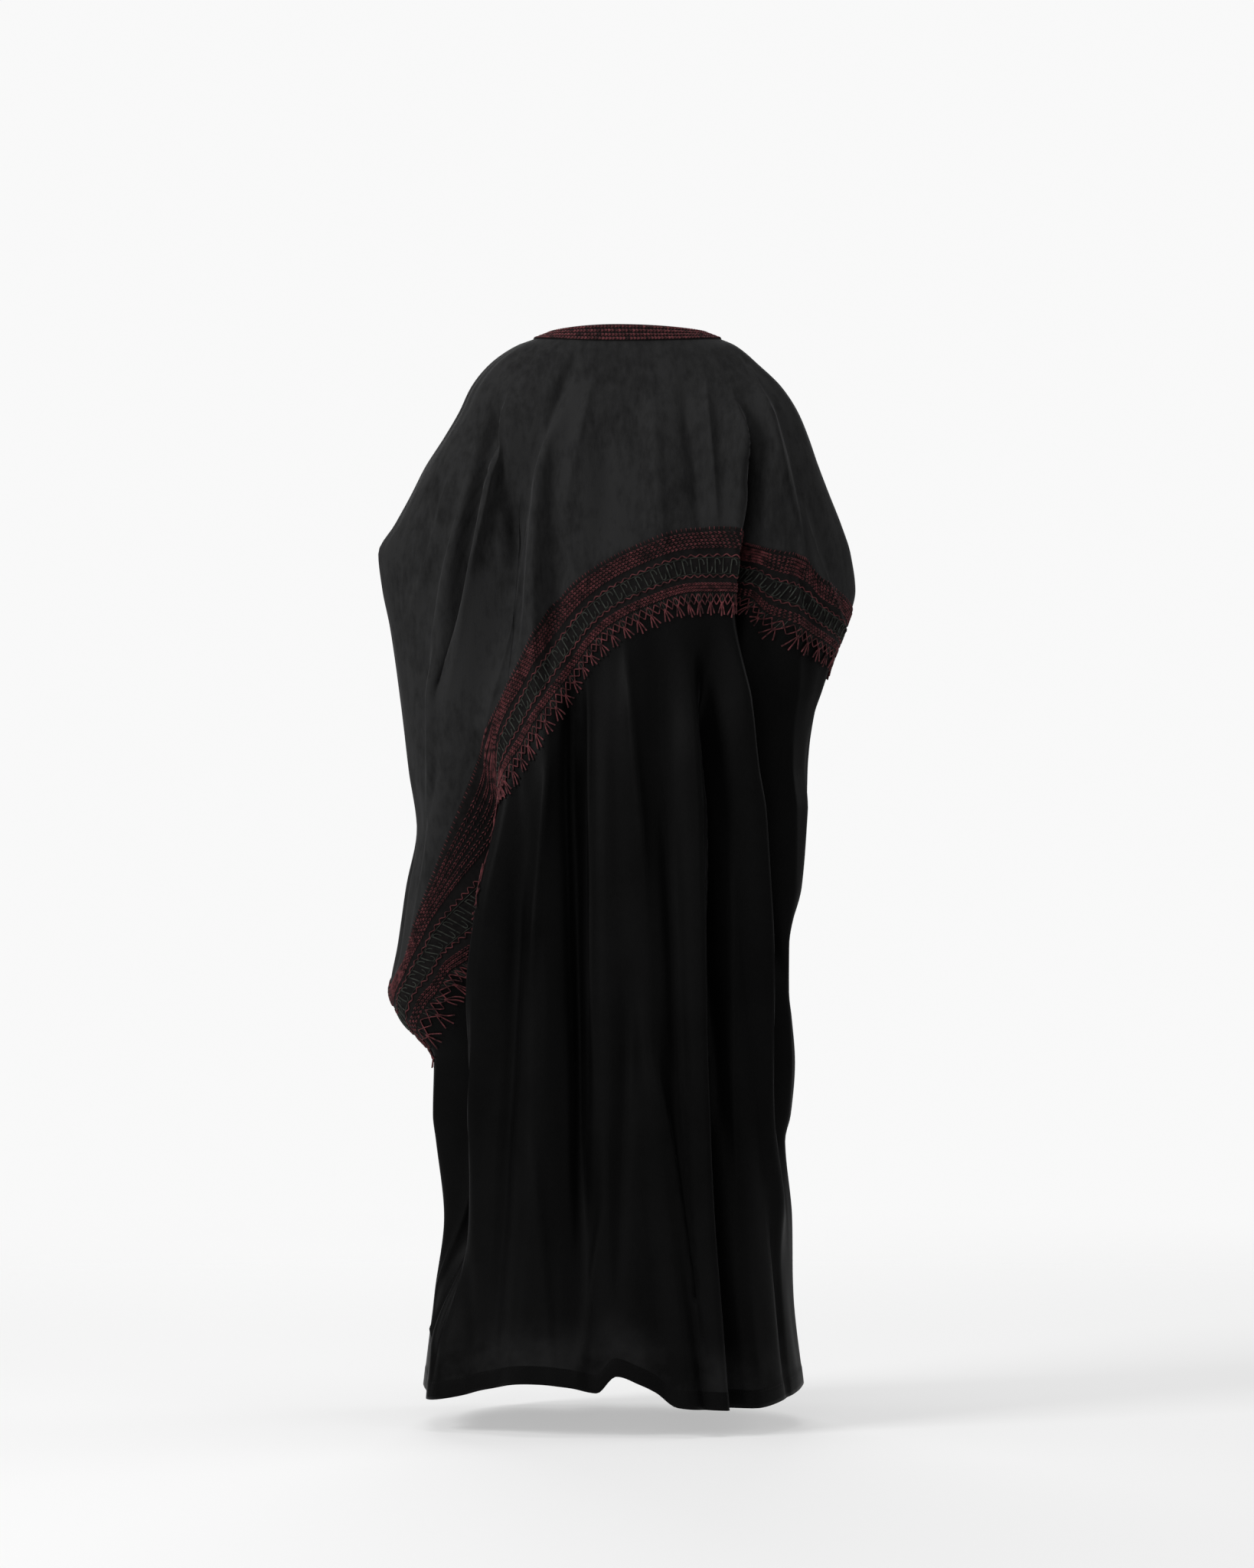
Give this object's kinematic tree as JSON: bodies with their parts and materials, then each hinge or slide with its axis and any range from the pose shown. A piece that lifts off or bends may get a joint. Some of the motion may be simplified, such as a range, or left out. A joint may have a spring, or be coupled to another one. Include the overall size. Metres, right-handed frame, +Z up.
{
  "type": "abaya cloak",
  "caption": "Hollow open-fronted abaya cloak, worn: draped wings over bent arms, slanting embroidered braid with tassels, open neck, hand openings and hem.",
  "frame": {"origin": "between the shoulders, level with the neck edge, where the wearer's neck and shoulders hold the cloak", "axes": "+Z up; the front faces -Y; the wearer's left is +X"},
  "size_m": [0.6549, 0.5159, 1.4764],
  "materials": {
    "charcoal_cloth": "soft brushed nap, charcoal",
    "black_cloth": "fluid crepe, black, faint sheen",
    "maroon_braid": "chain-stitched maroon braid",
    "maroon_tassel": "short maroon thread tassels"
  },
  "bodies": {
    "root": {"back_upper": "charcoal_cloth", "back_lower": "black_cloth", "front_left_upper": "charcoal_cloth", "front_left_lower": "black_cloth", "front_right_upper": "charcoal_cloth", "front_right_lower": "black_cloth", "braid_back": "maroon_braid", "braid_front_left": "maroon_braid", "braid_front_right": "maroon_braid", "tassels_back": "maroon_tassel", "tassels_front_left": "maroon_tassel", "tassels_front_right": "maroon_tassel", "neck_trim": "maroon_braid"}
  },
  "joints": []
}
